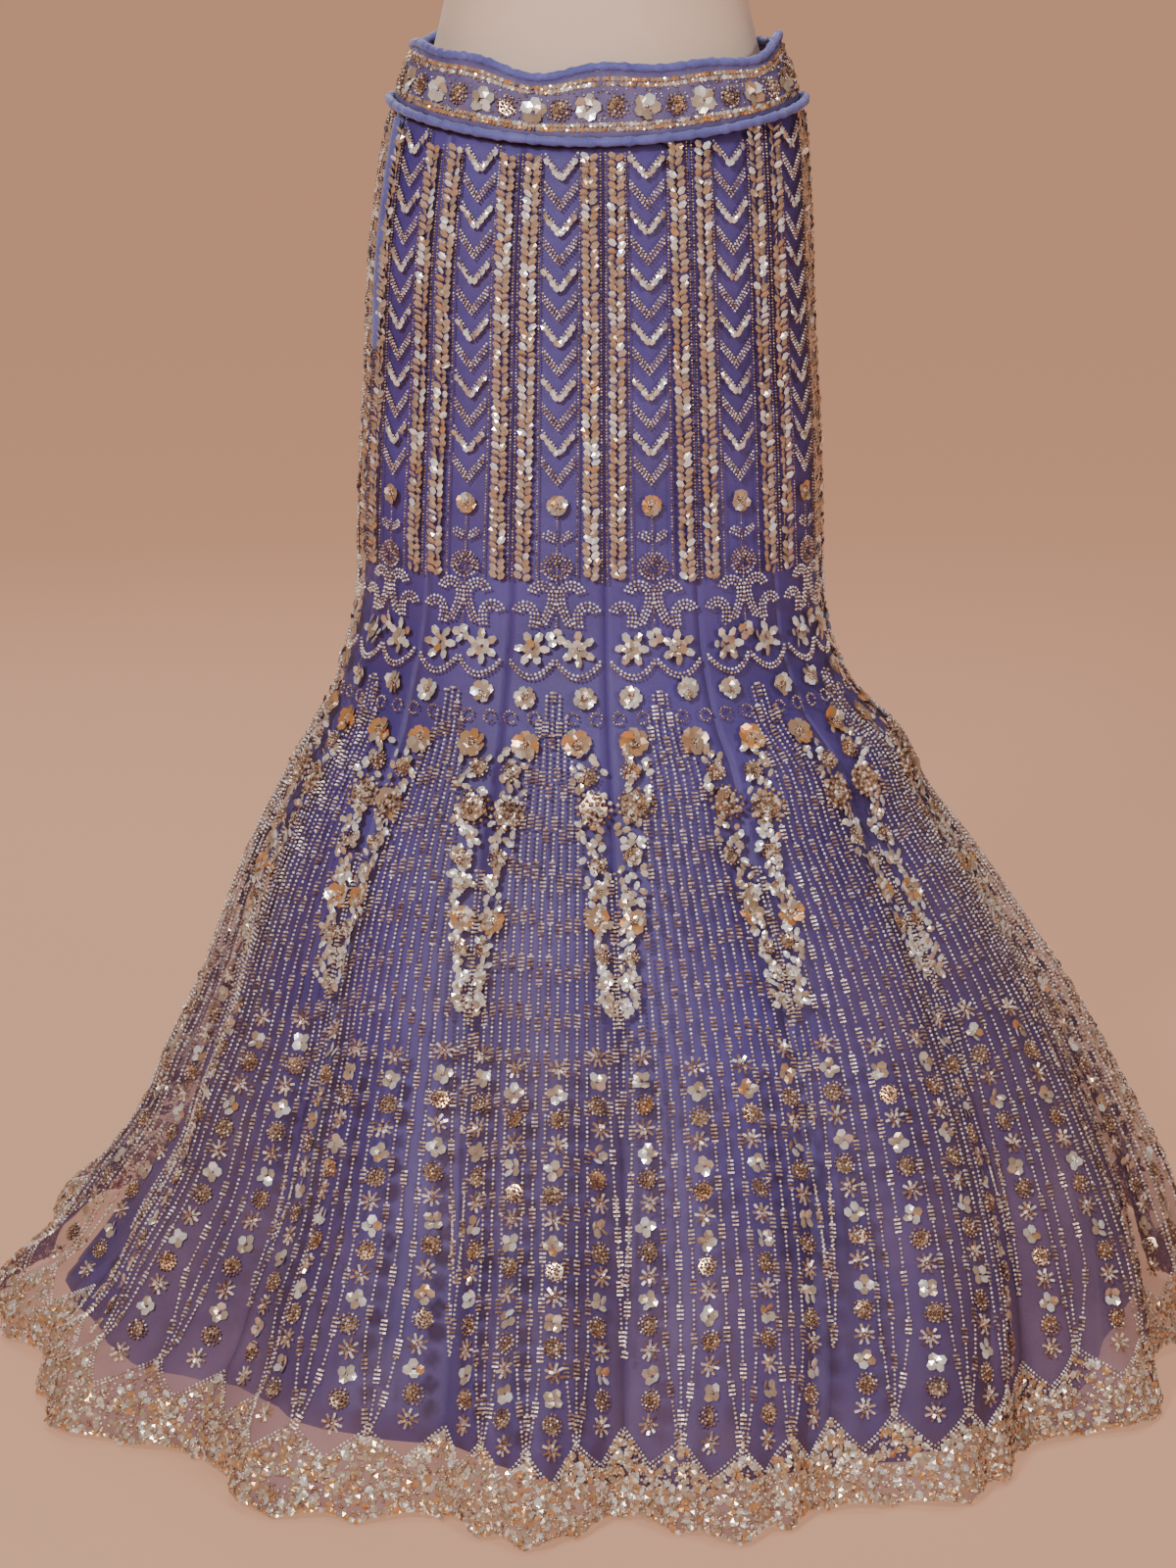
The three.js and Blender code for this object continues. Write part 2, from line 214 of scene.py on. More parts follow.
def clothFrame(surface, g, z):
    g, z = np.broadcast_arrays(np.asarray(g, float), np.asarray(z, float))
    here = surface(g, z)
    across = unit(surface(g + 0.01, z) - surface(g - 0.01, z))
    up = surface(g, z + 0.001) - surface(g, z - 0.001)
    out = unit(np.cross(across, up))
    return here, across, unit(np.cross(out, across)), out


def frontness(g):
    turn = roundShare(g, np.full_like(g, cut["topAtSides"]))
    return np.maximum(0, np.cos(2 * math.pi * turn)) ** cut["dipSharpness"]


def waistSeam(g):
    return cut["seamAtSides"] - cut["seamDip"] * frontness(g)


def bandTop(g):
    turn = 2 * math.pi * g / cut["gores"]
    wave = sum(high * np.sin(count * turn + start) for count, high, start in bandWaves)
    return cut["topAtSides"] - cut["topDip"] * frontness(g) + wave


around = np.linspace(0, cut["gores"], 8 * cut["gores"] + 1)
goreWidths = []
for height in widthHeights:
    ring = clothPoint(around, np.full_like(around, height), 0, 0, 0)
    goreWidths.append(np.linalg.norm(np.diff(ring, axis=0), axis=1).sum() / cut["gores"])


def goreWidth(z):
    return np.interp(z, widthHeights, goreWidths)


# materials

def newMaterial(name, **values):
    material = bpy.data.materials.new(name)
    material.use_nodes = True
    shader = material.node_tree.nodes["Principled BSDF"]
    for socket, value in values.items():
        shader.inputs[socket.replace("_", " ")].default_value = value
    return material, shader


def addNode(tree, kind, **values):
    node = tree.nodes.new(kind)
    for key, value in values.items():
        if key in node.inputs:
            node.inputs[key].default_value = value
        else:
            setattr(node, key, value)
    return node


def addRamp(tree, stops):
    ramp = tree.nodes.new("ShaderNodeValToRGB")
    while len(ramp.color_ramp.elements) < len(stops):
        ramp.color_ramp.elements.new(0.5)
    for element, (place, color) in zip(ramp.color_ramp.elements, stops):
        element.position = place
        element.color = (*color, 1)
    return ramp


def clothMaterial(name, stops, scale, bump, weave, **values):
    material, shader = newMaterial(name, **values)
    tree = material.node_tree
    place = addNode(tree, "ShaderNodeTexCoord")
    clouds = addNode(tree, "ShaderNodeTexNoise", Scale=scale, Detail=4.0)
    ramp = addRamp(tree, stops)
    fine = addNode(tree, "ShaderNodeTexNoise", Scale=weave, Detail=2.0)
    total = addNode(tree, "ShaderNodeMath", operation="ADD")
    relief = addNode(tree, "ShaderNodeBump", Strength=bump, Distance=0.002)
    tree.links.new(place.outputs["Object"], clouds.inputs["Vector"])
    tree.links.new(place.outputs["Object"], fine.inputs["Vector"])
    tree.links.new(clouds.outputs["Fac"], ramp.inputs["Fac"])
    tree.links.new(ramp.outputs["Color"], shader.inputs["Base Color"])
    tree.links.new(clouds.outputs["Fac"], total.inputs[0])
    tree.links.new(fine.outputs["Fac"], total.inputs[1])
    tree.links.new(total.outputs["Value"], relief.inputs["Height"])
    tree.links.new(relief.outputs["Normal"], shader.inputs["Normal"])
    return material


def toneMaterial(name, stops, **values):
    material, shader = newMaterial(name, **values)
    tree = material.node_tree
    tone = addNode(tree, "ShaderNodeAttribute", attribute_name="tone")
    ramp = addRamp(tree, stops)
    tree.links.new(tone.outputs["Fac"], ramp.inputs["Fac"])
    tree.links.new(ramp.outputs["Color"], shader.inputs["Base Color"])
    return material


def grainMaterial(name, kind, pattern, stops, **values):
    material, shader = newMaterial(name, **values)
    tree = material.node_tree
    place = addNode(tree, "ShaderNodeTexCoord")
    grain = addNode(tree, kind, **pattern)
    ramp = addRamp(tree, stops)
    tree.links.new(place.outputs["Object"], grain.inputs["Vector"])
    tree.links.new(grain.outputs["Fac"], ramp.inputs["Fac"])
    tree.links.new(ramp.outputs["Color"], shader.inputs["Base Color"])
    return material


# colours at stops, then the scale of the clouds, the strength of the relief and the scale of the weave
satin = clothMaterial(
    "violetSatin", [(0.3, (0.052, 0.033, 0.20)), (0.7, (0.088, 0.062, 0.33))], 9, 0.25, 1800,
    Roughness=0.45, Sheen_Weight=0.1, Sheen_Roughness=0.4,
)
netCloth = clothMaterial(
    "mauveNet", [(0.3, (0.13, 0.07, 0.15)), (0.7, (0.27, 0.16, 0.26))], 14, 0.3, 2600, Roughness=0.7,
)
netTree = netCloth.node_tree
haze = addNode(netTree, "ShaderNodeAttribute", attribute_name="haze")
netTree.links.new(haze.outputs["Fac"], netTree.nodes["Principled BSDF"].inputs["Alpha"])
bindingCrepe = clothMaterial(
    "blueBinding", [(0.3, (0.070, 0.070, 0.30)), (0.7, (0.13, 0.13, 0.45))], 60, 0.5, 900,
    Roughness=0.55, Sheen_Weight=0.3,
)
bandNet = clothMaterial(
    "bandNet", [(0.3, (0.10, 0.075, 0.20)), (0.7, (0.17, 0.13, 0.28))], 60, 0.4, 1400, Roughness=0.6,
)
pearlGlass = toneMaterial(
    "pearlGlass",
    [(0.0, (0.22, 0.13, 0.10)), (0.5, (0.50, 0.36, 0.29)), (0.8, (0.85, 0.74, 0.67)),
     (1.0, (1.0, 0.97, 0.95))],
    Roughness=0.15, Coat_Weight=0.5,
)
goldGlass = toneMaterial(
    "champagneGlass",
    [(0.0, (0.17, 0.08, 0.05)), (0.45, (0.40, 0.24, 0.16)), (0.8, (0.78, 0.60, 0.46)),
     (1.0, (1.0, 0.92, 0.84))],
    Roughness=0.2, Metallic=0.35,
)
sequinFoil = toneMaterial(
    "sequinFoil",
    [(0.0, (0.70, 0.33, 0.12)), (0.3, (0.50, 0.35, 0.24)), (0.65, (0.62, 0.50, 0.39)),
     (0.82, (0.86, 0.80, 0.72)), (1.0, (1.0, 0.98, 0.96))],
    Roughness=0.2, Metallic=0.45,
)
formJersey = clothMaterial(
    "formJersey", [(0.3, (0.70, 0.48, 0.36)), (0.7, (0.76, 0.54, 0.42))], 5, 0.12, 2200,
    Roughness=0.75, Sheen_Weight=0.15,
)
capWood = grainMaterial(
    "capWood", "ShaderNodeTexWave", {"Scale": 18.0, "Distortion": 4.0, "Detail": 3.0},
    [(0.2, (0.16, 0.07, 0.03)), (0.8, (0.30, 0.15, 0.07))], Roughness=0.35, Coat_Weight=0.3,
)
standSteel = grainMaterial(
    "standSteel", "ShaderNodeTexNoise", {"Scale": 240.0, "Detail": 3.0},
    [(0.3, (0.42, 0.42, 0.41)), (0.7, (0.58, 0.58, 0.56))], Metallic=1.0, Roughness=0.3,
)
print("materials made")

# cloth

weldDistance = 0.00002


def mappedGrid(name, columns, rows, place, material, joined=False):
    bm = bmesh.new()
    bm.loops.layers.uv.new("UVMap")
    bmesh.ops.create_grid(bm, x_segments=columns, y_segments=rows, size=0.5, calc_uvs=True)
    mesh = bpy.data.meshes.new(name)
    bm.to_mesh(mesh)
    bm.free()
    spots = np.zeros(len(mesh.vertices) * 3, np.float32)
    mesh.vertices.foreach_get("co", spots)
    spots = spots.reshape(-1, 3).astype(float) + 0.5
    placed = place(spots[:, 0], spots[:, 1])
    mesh.vertices.foreach_set("co", placed.astype(np.float32).ravel())
    if joined:
        bm = bmesh.new()
        bm.from_mesh(mesh)
        bmesh.ops.remove_doubles(bm, verts=bm.verts, dist=weldDistance)
        bmesh.ops.recalc_face_normals(bm, faces=bm.faces)
        bm.to_mesh(mesh)
        bm.free()
    mesh.polygons.foreach_set("use_smooth", [True] * len(mesh.polygons))
    mesh.materials.append(material)
    piece = bpy.data.objects.new(name, mesh)
    bpy.context.scene.collection.objects.link(piece)
    return piece


def makeShell(piece, thickness):
    wall = piece.modifiers.new("wall", "SOLIDIFY")
    wall.thickness = thickness
    wall.offset = -1
    bpy.context.view_layer.objects.active = piece
    piece.select_set(True)
    bpy.ops.object.modifier_apply(modifier=wall.name)
    piece.select_set(False)


def finishPiece(piece, slotName, *nodes):
    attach(piece, "root")
    if nodes:
        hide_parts(*nodes)


net = {
    "columns": 22, "rows": 66, "wall": 0.0006, "underBand": 0.002,
    "hemWidth": 0.236, "length": 1.033, "area": 0.124,
}
hazeLook = {"least": 0.07, "inFlare": 0.10, "clouds": 0.34}
hemScallop = {"low": 0.003, "rise": 0.005, "sharpness": 0.7}


def addHaze(piece):
    mesh = piece.data
    spots = np.zeros(len(mesh.vertices) * 3, np.float32)
    mesh.vertices.foreach_get("co", spots)
    x, y, z = spots.reshape(-1, 3).T
    clouds = 0.5 + 0.25 * (np.sin(21 * x + 9 * z) + np.sin(17 * y - 13 * z + 1))
    inFlare = hazeLook["inFlare"] + hazeLook["clouds"] * clouds
    value = hazeLook["least"] + foldShare(z.astype(float)) * inFlare
    attribute = mesh.attributes.new("haze", "FLOAT", "POINT")
    attribute.data.foreach_set("value", value.astype(np.float32))


def hemEdge(g):
    scallop = np.abs(np.sin(4 * math.pi * g)) ** hemScallop["sharpness"]
    return hemScallop["low"] + hemScallop["rise"] * scallop


for gore in range(cut["gores"]):
    def placeNet(u, v, gore=gore):
        g = gore + u
        top = waistSeam(g) + net["underBand"]
        z = hemEdge(g) + (top - hemEdge(g)) * v
        return netPoint(g, z)

    piece = mappedGrid(f"netGore{gore + 1:02d}", net["columns"], net["rows"], placeNet, netCloth)
    makeShell(piece, net["wall"])
    addHaze(piece)
    finishPiece(piece, "net", f"net_gore_{gore + 1:02d}")

lining = {"columns": 12, "rows": 44, "wall": 0.0006, "hemWidth": 0.195, "length": 0.99, "area": 0.106}
# the lining's height above the floor at each seam
liningHems = [
    0.014, 0.016, 0.010, 0.014, 0.020, 0.012, 0.018, 0.010, 0.016, 0.012, 0.022, 0.026, 0.042, 0.036,
]

for gore in range(cut["gores"]):
    def placeLining(u, v, gore=gore):
        g = gore + u
        low = liningHems[gore] * (1 - u) + liningHems[(gore + 1) % cut["gores"]] * u
        z = low + (waistSeam(g) - low) * v
        return liningPoint(g, z)

    piece = mappedGrid(f"liningGore{gore + 1:02d}", lining["columns"], lining["rows"], placeLining, satin)
    makeShell(piece, lining["wall"])
    finishPiece(piece, "satin", f"lining_gore_{gore + 1:02d}")
print("net and lining gores made")

band = {"columns": 110, "rows": 8, "wall": 0.002, "overSeam": 0.0005, "girth": 0.43, "height": 0.044}


def placeBand(start, span):
    def place(u, v):
        g = start + span * u
        low = waistSeam(g) + band["overSeam"]
        return netPoint(g, low + (bandTop(g) - low) * v)
    return place


for name, node, start in (("bandFront", "waistband_front", -3), ("bandBack", "waistband_back", 4)):
    piece = mappedGrid(name, band["columns"], band["rows"], placeBand(start, 7), bandNet)
    makeShell(piece, band["wall"])
    finishPiece(piece, "beadwork", node)

binding = {
    "radius": 0.0032, "around": 12, "along": 420, "ceiling": 1.005,
    "tucks": [(61, 0.10, 0), (97, 0.08, 1)],  # how many go round, how deep each is, and where it starts
}


def placeBinding(line, out):
    def place(u, v):
        g = cut["gores"] * v
        turn = -2 * math.pi * u
        tuck = 1
        for count, deep, start in binding["tucks"]:
            tuck = tuck + deep * np.sin(2 * math.pi * count * v + start)
        z = line(g) + binding["radius"] * tuck * np.sin(turn)
        here, across, up, away = clothFrame(netPoint, g, np.minimum(z, binding["ceiling"]))
        return here + away * (out + binding["radius"] * tuck * np.cos(turn))[:, None]
    return place


for name, node, line, out in (
    ("bindingTop", "piping_top", lambda g: bandTop(g) + 0.0030, -0.0010),
    ("bindingWaist", "piping_waist", waistSeam, 0.0036),
):
    piece = mappedGrid(name, binding["around"], binding["along"], placeBinding(line, out), bindingCrepe, True)
    finishPiece(piece, "piping", node)

placket = {
    "seam": 11, "columns": 10, "rows": 40, "width": 0.012, "length": 0.17, "wall": 0.0014,
    "belowSeam": 0.0075, "out": 0.0022, "bulge": 0.0008,
}


def placePlacket(u, v):
    top = waistSeam(np.full_like(u, placket["seam"])) - placket["belowSeam"]
    z = top - placket["length"] * (1 - v)
    g = placket["seam"] + (u - 0.5) * placket["width"] / goreWidth(z)
    here, across, up, away = clothFrame(netPoint, g, z)
    return here + away * (placket["out"] + placket["bulge"] * np.sin(math.pi * u))[:, None]


piece = mappedGrid("sidePlacket", placket["columns"], placket["rows"], placePlacket, bindingCrepe)
makeShell(piece, placket["wall"])
finishPiece(piece, "piping", "side_placket")
print("band, bindings and placket made")

# beads, pearls and sequins

def beadShape(kind):
    bm = bmesh.new()
    if kind == "pearl":
        bmesh.ops.create_uvsphere(bm, u_segments=4, v_segments=2, radius=0.5)
    if kind == "bugle":
        bmesh.ops.create_cone(bm, cap_ends=True, segments=3, radius1=0.5, radius2=0.5, depth=1.0)
        bmesh.ops.rotate(bm, verts=bm.verts, cent=(0, 0, 0), matrix=Matrix.Rotation(math.pi / 2, 3, "Y"))
    if kind == "sequin":
        bmesh.ops.create_uvsphere(bm, u_segments=6, v_segments=2, radius=0.5)
    bmesh.ops.triangulate(bm, faces=bm.faces)
    bm.verts.ensure_lookup_table()
    verts = np.array([v.co[:] for v in bm.verts])
    faces = np.array([[v.index for v in f.verts] for f in bm.faces])
    bm.free()
    return verts, faces


shapes = {kind: beadShape(kind) for kind in ("pearl", "bugle", "sequin")}
kinds = {
    "pearl": ("pearl", pearlGlass, True),
    "seed": ("pearl", goldGlass, True),
    "bugle": ("bugle", goldGlass, False),
    "sequin": ("sequin", sequinFoil, False),
}
tray = {}


def addBeads(region, kind, here, along, out, size, tone):
    count = len(here)
    size = np.broadcast_to(np.asarray(size, float), (count, 3))
    tone = np.broadcast_to(np.asarray(tone, float), (count,))
    tray.setdefault((region, kind), []).append((here, along, out, size, tone))


def pourTray(region):
    for (where, kind), batches in sorted(tray.items()):
        if where != region:
            continue
        here, along, out, size, tone = (np.concatenate([b[k] for b in batches]) for k in range(5))
        shapeName, material, smooth = kinds[kind]
        verts, faces = shapes[shapeName]
        out = unit(out)
        along = unit(along - out * (along * out).sum(-1, keepdims=True))
        side = np.cross(out, along)
        scaled = verts[None] * size[:, None, :]
        placed = (here[:, None] + scaled[..., 0:1] * along[:, None] + scaled[..., 1:2] * side[:, None]
                  + scaled[..., 2:3] * out[:, None])
        count, corners = len(here), len(verts)
        index = (faces[None] + (np.arange(count) * corners)[:, None, None]).reshape(-1)
        mesh = bpy.data.meshes.new(f"{region}{kind.capitalize()}s")
        mesh.vertices.add(count * corners)
        mesh.vertices.foreach_set("co", placed.astype(np.float32).ravel())
        mesh.loops.add(len(index))
        mesh.loops.foreach_set("vertex_index", index.astype(np.int32))
        mesh.polygons.add(len(index) // 3)
        mesh.polygons.foreach_set("loop_start", np.arange(0, len(index), 3, dtype=np.int32))
        mesh.polygons.foreach_set("use_smooth", [smooth] * (len(index) // 3))
        mesh.update(calc_edges=True)
        attribute = mesh.attributes.new("tone", "FLOAT", "POINT")
        attribute.data.foreach_set("value", np.repeat(tone, corners).astype(np.float32))
        mesh.materials.append(material)
        piece = bpy.data.objects.new(mesh.name, mesh)
        bpy.context.scene.collection.objects.link(piece)
        finishPiece(piece, "beadwork")
        print(f"  {mesh.name}: {count} beads, {len(index) // 3} triangles")


def ball(size):
    return (size, size, size)


def strandPoints(g, z, pitch, lift):
    dense = netPoint(g, z)
    run = np.concatenate([[0], np.cumsum(np.linalg.norm(np.diff(dense, axis=0), axis=1))])
    stops = np.arange(pitch / 2, run[-1], pitch)
    if len(stops) < 2:
        return None
    atG = np.interp(stops, run, g)
    atZ = np.interp(stops, run, z)
    here, across, up, out = clothFrame(netPoint, atG, atZ)
    along = unit(np.gradient(here, axis=0))
    return here + out * lift, along, out, stops


def bead(region, kind, points, size, tone, spread=0.25):
    here, along, out, stops = points
    tones = np.clip(tone + spread * rng.standard_normal(len(here)), 0, 1)
    addBeads(region, kind, here, along, out, size, tones)


def pearlStrand(region, g, z, pearl=0.0026, tone=0.6):
    points = strandPoints(g, z, pearl * 1.18, pearl * 0.45)
    if points:
        bead(region, "pearl", points, ball(pearl), tone)


def seedStrand(region, g, z, seed=0.0022, tone=0.5):
    points = strandPoints(g, z, seed * 1.1, seed * 0.45)
    if points:
        bead(region, "seed", points, ball(seed), tone)


ladder = {
    "pearlRun": 0.024, "pearl": 0.0027, "pearlPitch": 0.0033, "pearlLift": 0.0011, "pearlTone": 0.62,
    "rungRun": 0.012, "rung": 0.0021, "rungPitch": 0.0029, "rungLift": 0.0010, "rungTone": 0.60,
    "width": 0.0046,
}


def ladderStrand(region, g, z):
    period = ladder["pearlRun"] + ladder["rungRun"]
    start = rng.random() * period
    fine = strandPoints(g, z, ladder["pearlPitch"], ladder["pearlLift"])
    if fine is None:
        return
    here, along, out, stops = fine
    inPearls = ((stops + start) % period) < ladder["pearlRun"]
    tones = np.clip(ladder["pearlTone"] + 0.2 * rng.standard_normal(len(here)), 0, 1)
    addBeads(region, "pearl", here[inPearls], along[inPearls], out[inPearls], ball(ladder["pearl"]),
             tones[inPearls])
    here, along, out, stops = strandPoints(g, z, ladder["rungPitch"], ladder["rungLift"])
    inRungs = ((stops + start) % period) >= ladder["pearlRun"]
    here, along, out = here[inRungs], along[inRungs], out[inRungs]
    side = np.cross(out, along)
    size = (ladder["width"] * 0.46, ladder["rung"], ladder["rung"])
    for half in (-1, 1):
        tones = np.clip(ladder["rungTone"] + 0.28 * rng.standard_normal(len(here)), 0, 1)
        addBeads(region, "bugle", here + side * half * ladder["width"] * 0.26, side, out, size, tones)


# a motif lists its beads: kind, place across and up, lift off the cloth, turn, tilt, size, tone, and how far
# the tone strays
stitching = {"jitter": 0.00025, "lean": 0.26}


def stamp(region, motif, g, z, turn=0.0):
    g = np.atleast_1d(np.asarray(g, float))
    z = np.broadcast_to(np.asarray(z, float), g.shape)
    turn = np.broadcast_to(np.asarray(turn, float), g.shape)
    here, across, up, out = clothFrame(netPoint, g, z)
    c, s = np.cos(turn)[:, None], np.sin(turn)[:, None]
    right = across * c + up * s
    top = up * c - across * s
    count = len(g)
    for kind, x, y, lift, angle, tilt, size, tone, spread in motif:
        jitter = stitching["jitter"] * rng.standard_normal((count, 2))
        at = here + right * (x + jitter[:, :1]) + top * (y + jitter[:, 1:]) + out * lift
        along = right * math.cos(angle) + top * math.sin(angle) + out * tilt
        lean = rng.normal(0, stitching["lean"], (count, 2))
        away = out - (right * math.cos(angle) + top * math.sin(angle)) * tilt
        away = away + right * lean[:, :1] + top * lean[:, 1:]
        tones = np.clip(tone + spread * rng.standard_normal(count), 0, 1)
        addBeads(region, kind, at, along, away, size, tones)


def onRing(radius, angle):
    return radius * math.cos(angle), radius * math.sin(angle)


def starBurst():
    motif = []
    for k in range(8):
        a = 2 * math.pi * k / 8
        for r, length in ((0.0030, 0.0028), (0.0060, 0.0032)):
            motif.append(("bugle", *onRing(r, a), 0.0014, a, 0.1, (length, 0.0023, 0.0021), 0.62, 0.25))
    motif.append(("pearl", 0, 0, 0.0016, 0, 0, ball(0.0024), 0.6, 0.2))
    return motif


def rosette(radius=0.0080, tone=0.40):
    motif = []
    size = radius * 0.34 if radius > 0.006 else radius * 0.42
    for ring, count in ((0.98, 14), (0.66, 10), (0.33, 5)):
        for k in range(count):
            a = 2 * math.pi * (k + 0.5 * (count % 2)) / count
            r = radius * ring - 0.0008
            lift = 0.0016 + 0.0014 * (1 - ring)
            motif.append(("seed", *onRing(r, a), lift, a, 0.1, (size, size, size * 0.9), tone, 0.3))
    motif.append(("sequin", 0, 0, 0.0002, 0, 0, (radius * 1.7, radius * 1.7, 0.0006), 0.3, 0.1))
    return motif


def petalFlower(petals=4, radius=0.0074, tone=0.62, centre=True):
    motif = []
    size = (radius * 1.02, radius, 0.0009)
    for k in range(petals):
        a = 2 * math.pi * (k + 0.5) / petals
        motif.append(("sequin", *onRing(radius * 0.56, a), 0.0012, a, 0.18, size, tone, 0.24))
    if centre:
        motif.append(("seed", 0, 0, 0.0020, 0, 0, (0.0022, 0.0022, 0.0020), 0.5, 0.2))
    return motif


columnMotifs = (starBurst(), petalFlower(), rosette())

# hips: beaded seams, leaf vines and rows of chevrons on every gore

hips = {
    "underBand": 0.008, "bottom": 0.600, "seamPair": 0.0018, "frameAt": 0.0152,
    # a share of the vine leaves is painted near white as a painted highlight, standing in for glints of light
    # on the sequins
    "vineAt": 0.0098, "vinePitch": 0.0052, "leafAt": 0.0031, "glintPaintedLeaves": 0.16,
    "leaf": (0.0078, 0.0052, 0.0012),
    "chevrons": 12, "chevronLow": 0.672, "chevronGap": 0.004, "chevronHalf": 0.0128, "chevronDrop": 0.0155,
    "chevronLeaf": (0.0064, 0.0044, 0.0012),
    "chevronLeaves": [-0.85, -0.6, -0.35, -0.15, 0.15, 0.35, 0.6, 0.85],  # shares of the half width
    "daisyAt": 0.656, "sprigAt": 0.630, "fanAt": 0.610, "stemTop": 0.652, "stemFoot": 0.562,
    "fanRings": [(0.0112, 15), (0.0090, 12), (0.0067, 9), (0.0044, 6)],  # radius and how many beads
    "fanCups": [("pearl", 0.0098, 0.0078, 0.6), ("seed", 0.0065, 0.0050, 0.3)],  # half width, drop and tone
}


def panelG(gore, x, z):
    return gore + 0.5 + x / goreWidth(z)


def seamG(gore, x, z):
    return gore + x / goreWidth(z)


def leafVine(gore, sideways, top):
    count = int((top - hips["bottom"]) / hips["vinePitch"])
    for leafSide in (-1, 1):
        zs = top - hips["vinePitch"] * (np.arange(count) + 0.5 + 0.3 * (leafSide > 0))
        # about one leaf in six is painted near white as a painted glint of light, a painted highlight; the
        # rest keep their browner tone
        paintedGlint = rng.random(count) < hips["glintPaintedLeaves"]
        for isGlint, tone, spread in ((False, 0.40, 0.10), (True, 0.97, 0.04)):
            z = zs[paintedGlint == isGlint]
            x = sideways * hips["vineAt"] + leafSide * (hips["leafAt"] + 0.0004 * rng.standard_normal(len(z)))
            turn = math.pi / 2 - leafSide * 0.85
            leaf = [("sequin", 0, 0, 0.0016, turn, 0.22, hips["leaf"], tone, spread)]
            stamp("hips", leaf, seamG(gore, x, z), z)


def beadedChevron(gore, base):
    x = np.linspace(-1, 1, 41)
    fall = hips["chevronDrop"] * (1 - np.abs(x))
    for k, strand in enumerate((pearlStrand, seedStrand, pearlStrand)):
        z = base - fall + 0.0027 * k - 0.001
        strand("hips", panelG(gore, x * hips["chevronHalf"], z), z, 0.0023, 0.62)


def leafChevron(gore, base):
    x = np.linspace(-1, 1, 41)
    z = base - hips["chevronDrop"] * (1 - np.abs(x)) + 0.0045
    pearlStrand("hips", panelG(gore, x * hips["chevronHalf"], z), z, 0.0023, 0.55)
    for at in hips["chevronLeaves"]:
        z = base - hips["chevronDrop"] * (1 - abs(at)) + 0.0008
        tone = 0.9 if abs(at) < 0.5 else 0.7
        turn = math.pi / 2 - 0.6 * np.sign(at)
        leaf = [("sequin", 0, 0, 0.0016, turn, 0.1, hips["chevronLeaf"], tone, 0.16)]
        stamp("hips", leaf, panelG(gore, at * hips["chevronHalf"], np.array([z])), z)


def sprig(sideways):
    return [
        ("pearl", sideways * (0.003 + 0.0024 * k) + 0.0006 * r, 0.0025 * r + 0.0012 * k, 0.0013, 0, 0,
         ball(0.0024), 0.6, 0.2)
        for k in range(4) for r in range(3 - (k == 3))
    ]


def carnation():
    motif = []
    for ring, count in hips["fanRings"]:
        for k in range(count):
            a = -0.25 + (math.pi + 0.5) * (k + 0.5) / count
            motif.append(("seed", *onRing(ring, a), 0.0016, a, 0.1, (0.0027, 0.0023, 0.0022), 0.5, 0.2))
    for k in range(9):
        a = math.pi + math.pi * (k + 0.5) / 9
        for kind, wide, drop, tone in hips["fanCups"]:
            x, y = wide * math.cos(a), drop * math.sin(a)
            motif.append((kind, x, y, 0.0014, 0, 0, ball(0.0026), tone, 0.2))
    return motif


for gore in range(cut["gores"]):
    topHere = float(waistSeam(np.array([gore + 0.5]))[0]) - hips["underBand"]
    z = np.linspace(topHere, hips["bottom"], 160)
    for sideways in (-1, 1):
        seedStrand("hips", seamG(gore, sideways * hips["seamPair"], z), z, 0.0021, 0.40)
        seedStrand("hips", panelG(gore, sideways * hips["frameAt"], z), z, 0.0021, 0.42)
        leafVine(gore, sideways, topHere)
    room = topHere - hips["chevronGap"] - hips["chevronLow"] - hips["chevronDrop"]
    for row in range(hips["chevrons"]):
        base = hips["chevronLow"] + hips["chevronDrop"] + room * (1 - row / (hips["chevrons"] - 1))
        (beadedChevron if row % 2 else leafChevron)(gore, base)
    stamp("hips", petalFlower(8, 0.0078, 0.42), gore + 0.5, hips["daisyAt"])
    stamp("hips", rosette(0.0040, 0.6), gore + 0.5, hips["daisyAt"])
    for sideways in (-1, 1):
        stamp("hips", sprig(sideways), gore + 0.5, hips["sprigAt"])
    stamp("hips", carnation(), gore + 0.5, hips["fanAt"])
    z = np.linspace(hips["stemTop"], hips["stemFoot"], 60)
    seedStrand("hips", np.full(60, gore + 0.5), z, 0.0018, 0.4)
pourTray("hips")
print("hip embroidery made")

# knee: hooked crescents, star flowers and swags

knee = {
    # outer edge from the panel's centre, radius and height of the hook, then where its tail ends
    "crescents": [(0.0220, 0.0110, 0.6010, 0.0085, 0.568), (0.0335, 0.0100, 0.5860, 0.0150, 0.566)],
    "rowPitch": 0.0027, "hookShare": 0.55,
    "flowerAt": 0.0175, "flowerZ": 0.552, "petalAt": 0.0092, "petal": (0.0092, 0.0062, 0.0012),
    "swagAt": 0.0178, "swagHalf": 0.0172, "swagTop": 0.545, "swagSag": 0.012, "leafZ": 0.560,
}
beadRows = (pearlStrand, seedStrand, pearlStrand)  # from the outer edge inwards


def crescent(gore, facing, edge, radius, top, tailX, tailZ):
    along = np.linspace(0.05, 1, 36)
    turn = math.pi * np.minimum(along / knee["hookShare"], 1)
    down = np.clip((along - knee["hookShare"]) / (1 - knee["hookShare"]), 0, 1)
    middle = edge - radius
    for k, strand in enumerate(beadRows):
        r = radius - knee["rowPitch"] * k
        x = middle + r * np.cos(turn) + (tailX - (middle - radius)) * down ** 1.5
        z = top - radius + r * np.sin(turn) - (top - radius - tailZ) * down
        strand("knee", panelG(gore, facing * x, z), z, 0.0027, 0.78)


def starFlower():
    motif = []
    for k in range(6):
        turn = 2 * math.pi * k / 6 + 0.26
        x, y = onRing(knee["petalAt"], turn)
        motif.append(("sequin", x, y, 0.0014, turn, 0.16, knee["petal"], 0.80, 0.14))
    return motif


